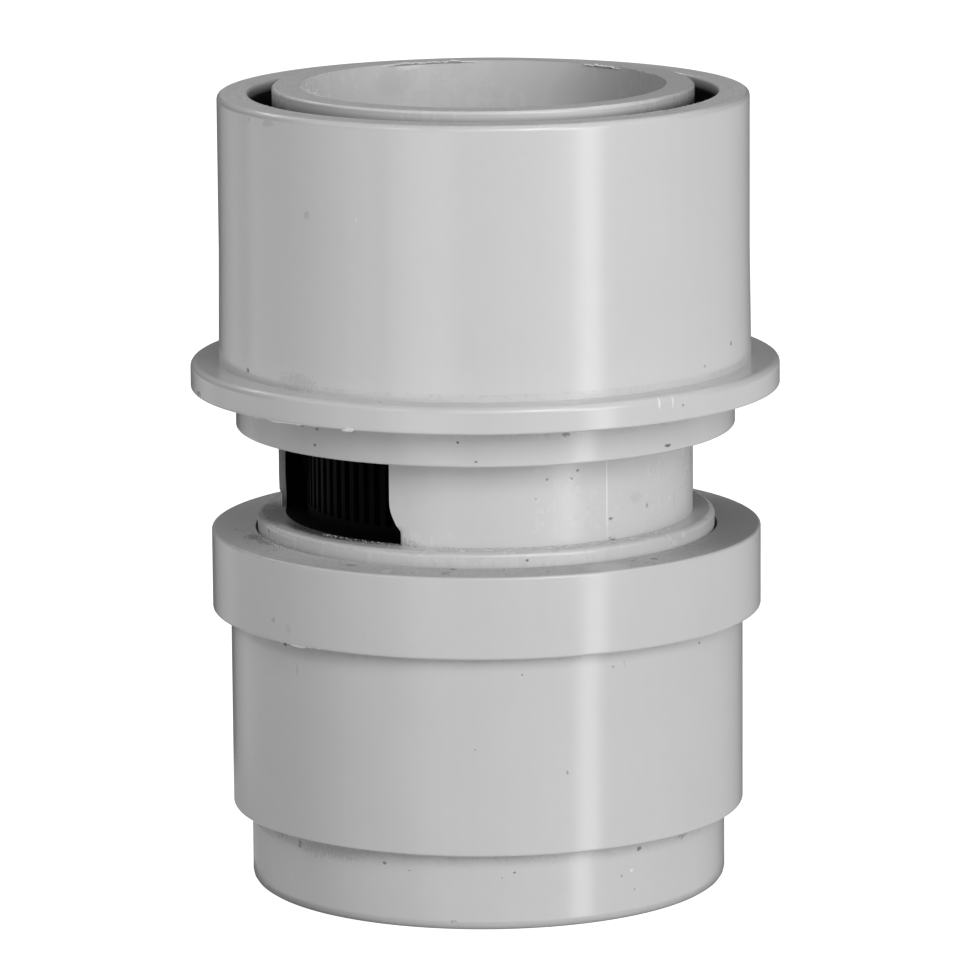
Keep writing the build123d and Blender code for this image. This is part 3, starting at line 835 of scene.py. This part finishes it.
def addRib(build, box, turned):
    inside = (box["bossRadius"] + box["bossBore"]) / 2
    slope = [
        (inside, box["floorTop"]),
        (box["ribReach"], box["floorTop"]),
        (box["ribReach"], box["floorTop"] + box["ribToe"]),
        (box["bossRadius"], box["bossTop"] - box["ribDrop"]),
        (inside, box["bossTop"] - box["ribDrop"]),
    ]
    half = box["ribThickness"] / 2
    face = build.faces.new([build.verts.new(Vector((radius, -half, height)) * mm) for radius, height in slope])
    made = bmesh.ops.extrude_face_region(build, geom=[face], use_keep_orig=True)
    raised = [item for item in made["geom"] if isinstance(item, bmesh.types.BMVert)]
    bmesh.ops.translate(build, verts=raised, vec=(0, 2 * half * mm, 0))
    rib = list(face.verts) + raised
    bmesh.ops.rotate(build, verts=rib, cent=(0, 0, 0), matrix=Matrix.Rotation(math.radians(turned), 3, "Z"))
    bmesh.ops.recalc_face_normals(build, faces=list({item for vert in rib for item in vert.link_faces}))


# connector sleeve: step ring, flange and the sleeve itself

sleeveSettings = {
    "hubRadius": 20.0, "stepRadius": 23.75, "stepTop": 47.95,
    "flangeTop": 50.5, "flangeRounding": 0.55,
    "rootRadius": 25.3, "sleeveRadius": 25.15, "landBottom": 60.9, "boreRadius": 22.2, "slotFloor": 51.5,
    "edge": 0.2, "rimRounding": 0.5, "innerRounding": 0.2,
}


def makeSleeve():
    box = sleeveSettings
    lowest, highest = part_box("connector_sleeve")
    bottom = lowest[2] / mm
    top = highest[2] / mm
    flangeRadius = highest[0] / mm
    outline = [
        (box["hubRadius"], bottom),
        (box["stepRadius"], bottom),
        (box["stepRadius"], box["stepTop"]),
        (flangeRadius, box["stepTop"]),
        (flangeRadius, box["flangeTop"]),
        (box["rootRadius"], box["flangeTop"]),
        (box["sleeveRadius"], box["landBottom"]),
        (box["sleeveRadius"], top),
        (box["boreRadius"], top),
        (box["boreRadius"], box["slotFloor"]),
        (box["hubRadius"], box["slotFloor"]),
    ]
    rounded = {
        1: box["edge"], 3: box["edge"], 4: box["flangeRounding"],
        7: box["rimRounding"], 8: box["innerRounding"],
    }
    build = spinOutline(outline, rounded, closed=True)
    piece = finishPiece("sleeveShell", build, grey["connector_sleeve"])
    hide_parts("connector_sleeve")


makeCap()
makeSleeve()
print("mouldings spun")


# flash: thin ragged skins of plastic that a blade or a mould left on an edge
# reach and rise say how far a skin stands out sideways and upwards, spans where, in degrees from the front

flashSettings = {
    "boreFlash": {
        "radius": 17.42, "level": 76.42, "reach": -0.5, "rise": 0.28, "thick": 0.14, "grain": 1.1,
        "spans": [(-92, -52), (-178, -146), (130, 146)],
    },
    "boreBurr": {
        "radius": 17.4, "level": 76.5, "reach": -0.12, "rise": 0.04, "thick": 0.05, "grain": 2.5,
        "spans": [(-144, -96), (-50, -20), (96, 128)],
    },
    "collarFlash": {
        "radius": 26.1, "level": 26.75, "reach": 0.02, "rise": -0.3, "thick": 0.06, "grain": 0.9,
        "spans": [(-49, -34)],
    },
    "flangeFlash": {
        "radius": 27.85, "level": 48.1, "reach": 0.1, "rise": -0.27, "thick": 0.08, "grain": 0.7,
        "spans": [(-56, -22)],
    },
}
flashStep = 0.35    # degrees
flashTear = {"start": 0.55, "broad": 0.25, "fine": 0.6, "fade": 4, "lift": 0.02}


def makeFlash(name, box):
    build = bmesh.new()
    for low, high in box["spans"]:
        addFlash(build, box, low, high)
    bmesh.ops.recalc_face_normals(build, faces=build.faces[:])
    bmesh.ops.solidify(build, geom=build.faces[:], thickness=box["thick"] * mm)
    finishPiece(name, build, soft["paleFlash"], smooth=False)


def addFlash(build, box, low, high):
    tear = flashTear
    first = build.verts.new(around(low, box["radius"], box["level"]))
    steps = round((high - low) / flashStep)
    bmesh.ops.spin(build, geom=[first], axis=upright, angle=math.radians(high - low), steps=steps)
    loose = [edge for edge in build.edges if not edge.link_faces]
    made = bmesh.ops.extrude_edge_only(build, edges=loose)
    for vert in [item for item in made["geom"] if isinstance(item, bmesh.types.BMVert)]:
        angle = math.degrees(math.atan2(vert.co.y, vert.co.x)) - frontTurn
        away = abs((angle - (low + high) / 2 + 180) % 360 - 180) / ((high - low) / 2)
        torn = noise.noise(Vector((angle * box["grain"] * tear["broad"], box["level"], 0))) + tear["start"]
        torn += tear["fine"] * noise.noise(Vector((angle * box["grain"], 0, box["level"])))
        size = max(0.0, min(1.0, torn)) * (1 - min(1, away) ** tear["fade"])
        outward = Vector((vert.co.x, vert.co.y, 0)).normalized()
        vert.co += outward * box["reach"] * size * mm
        vert.co.z += (box["rise"] * size + tear["lift"]) * mm


for name, box in flashSettings.items():
    makeFlash(name, box)


# small lump of flash on the flange's lower edge

nickSettings = {
    "angle": -27, "radius": 27.88, "height": 48.05,
    "size": 0.62, "stretch": (1.0, 1.9, 0.8), "lumpGrain": 4000, "lumpSize": 0.5,
}


def makeNick():
    box = nickSettings
    build = bmesh.new()
    bmesh.ops.create_icosphere(build, subdivisions=3, radius=box["size"] / 2 * mm)
    for vert in build.verts:
        vert.co *= 1 + box["lumpSize"] * noise.noise(vert.co * box["lumpGrain"])
    bmesh.ops.scale(build, verts=build.verts[:], vec=box["stretch"])
    turned = Matrix.Rotation(math.radians(frontTurn + box["angle"]), 3, "Z")
    bmesh.ops.rotate(build, verts=build.verts[:], cent=(0, 0, 0), matrix=turned)
    bmesh.ops.translate(build, verts=build.verts[:], vec=around(box["angle"], box["radius"], box["height"]))
    finishPiece("flangeNick", build, soft["paleFlash"])


makeNick()


# grains of dust and dirt where they gather; spans in degrees from the front, sizes in millimetres

grainSettings = {
    "sillDust": {"seed": 4, "count": 70, "span": (-52, -21), "radius": (19.3, 19.95), "level": 35.8,
                 "size": (0.02, 0.08), "material": "paleDust"},
    "seamDirt": {"seed": 7, "count": 26, "span": (-24, 62), "radius": (19.78, 19.95), "level": 35.8,
                 "size": (0.03, 0.09), "material": "darkDirt"},
    "seamDust": {"seed": 9, "count": 30, "span": (-20, 50), "radius": (19.8, 20.2), "level": 35.8,
                 "size": (0.02, 0.06), "material": "paleDust"},
    "rimDust": {"seed": 11, "count": 80, "span": (-88, -60), "radius": (22.3, 24.6), "level": 75.9,
                "size": (0.02, 0.06), "material": "paleDust"},
    "rimDirt": {"seed": 15, "count": 40, "span": (36, 72), "radius": (22.3, 22.9), "level": 75.9,
                "size": (0.02, 0.07), "material": "darkDirt"},
    "rimCrumbs": {"seed": 19, "count": 60, "span": (40, 76), "radius": (22.3, 23.0), "level": 75.9,
                  "size": (0.02, 0.08), "material": "paleDust"},
    "collarDirt": {"seed": 23, "count": 60, "span": (-84, -56), "radius": (22.1, 24.4), "level": 34.35,
                   "size": (0.02, 0.08), "material": "darkDirt"},
    "collarCrumbs": {"seed": 29, "count": 80, "span": (-84, 60), "radius": (22.1, 25.8), "level": 34.35,
                     "size": (0.02, 0.06), "material": "paleDust"},
    "collarSpots": {"seed": 31, "count": 60, "span": (-50, 84), "radius": (22.1, 25.8), "level": 34.35,
                    "size": (0.02, 0.07), "material": "darkDirt"},
    "diskSpots": {"seed": 37, "count": 30, "span": (-30, 84), "radius": (20.0, 21.5), "level": 35.8,
                  "size": (0.02, 0.06), "material": "darkDirt"},
}
grainShape = {"long": (0.7, 1.6), "wide": (0.7, 1.2), "high": 0.7}


def makeGrains(name, box):
    draw = random.Random(box["seed"])
    build = bmesh.new()
    for _ in range(box["count"]):
        size = draw.uniform(*box["size"])
        spot = around(draw.uniform(*box["span"]), draw.uniform(*box["radius"]), box["level"])
        shape = Matrix.Translation(spot) @ Matrix.Rotation(draw.uniform(0, math.pi), 4, "Z")
        long = draw.uniform(*grainShape["long"])
        wide = draw.uniform(*grainShape["wide"])
        shape = shape @ Matrix.Diagonal((long, wide, grainShape["high"], 1))
        bmesh.ops.create_icosphere(build, subdivisions=1, radius=size * mm, matrix=shape)
    finishPiece(name, build, soft[box["material"]], smooth=False)


for name, box in grainSettings.items():
    makeGrains(name, box)
print("flash, dust and dirt made")


# finish: plain colours

bpy.context.scene.view_settings.view_transform = "Standard"
